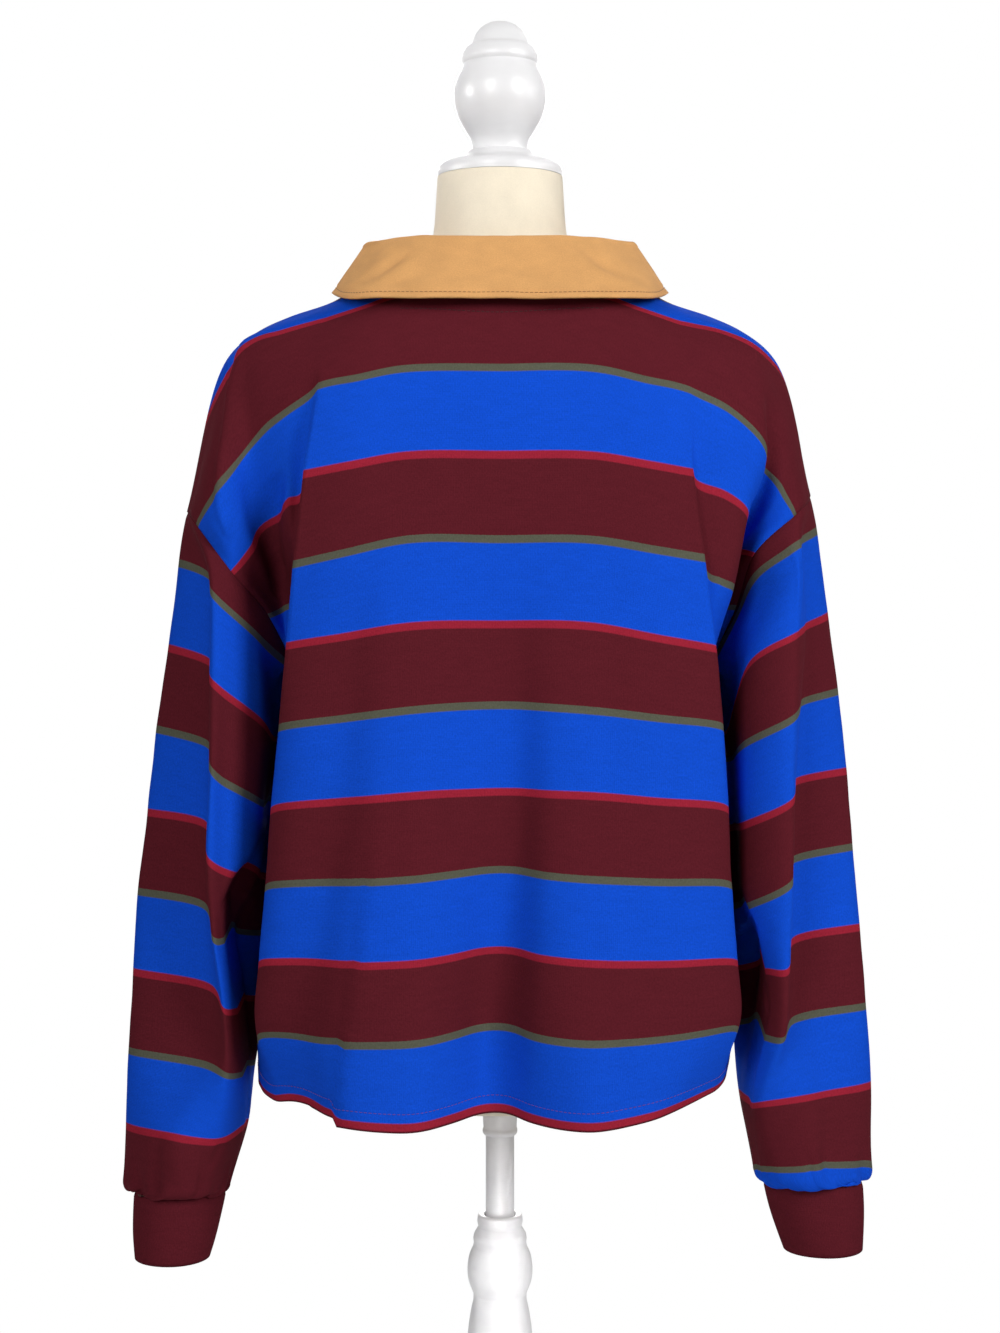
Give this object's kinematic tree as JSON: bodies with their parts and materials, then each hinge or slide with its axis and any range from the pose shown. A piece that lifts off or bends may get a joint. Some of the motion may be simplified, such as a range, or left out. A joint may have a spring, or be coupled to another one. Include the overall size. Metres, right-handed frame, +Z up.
{
  "type": "rugby shirt on a dress form",
  "caption": "Long-sleeved wide-striped rugby shirt with a twill collar and ribbed cuffs, worn by a limbless dress form on a turned stand.",
  "frame": {"origin": "middle of the stand's underside, on the floor", "axes": "+Z up; the shirt's front faces -Y, so the wearer's left is +X"},
  "size_m": [0.6035, 0.3578, 1.6082],
  "materials": {
    "jersey": "heavy cotton jersey in wide blue and maroon stripes edged with narrow red and olive lines",
    "rib": "maroon rib knit",
    "twill": "tan cotton twill, topstitched",
    "button": "matt",
    "form_cover": "cream jersey stretched over the form",
    "painted_wood": "white satin paint"
  },
  "bodies": {
    "stand": {"stand_column": "painted_wood", "stand_base": "painted_wood"},
    "form": {"form_torso": "form_cover", "neck_cap": "painted_wood", "finial": "painted_wood", "pole_collar": "painted_wood", "pole": "painted_wood", "back_panel": "jersey", "front_panel": "jersey", "sleeve_left": "jersey", "sleeve_right": "jersey", "cuff_left": "rib", "cuff_right": "rib", "collar": "twill", "placket": "twill", "button_1": "button", "button_2": "button", "button_3": "button"}
  },
  "joints": [
    {"name": "height", "type": "slide", "parent": "stand", "child": "form", "axis": [0, 0, 1], "range_m": [-0.055, 0.15]}
  ]
}
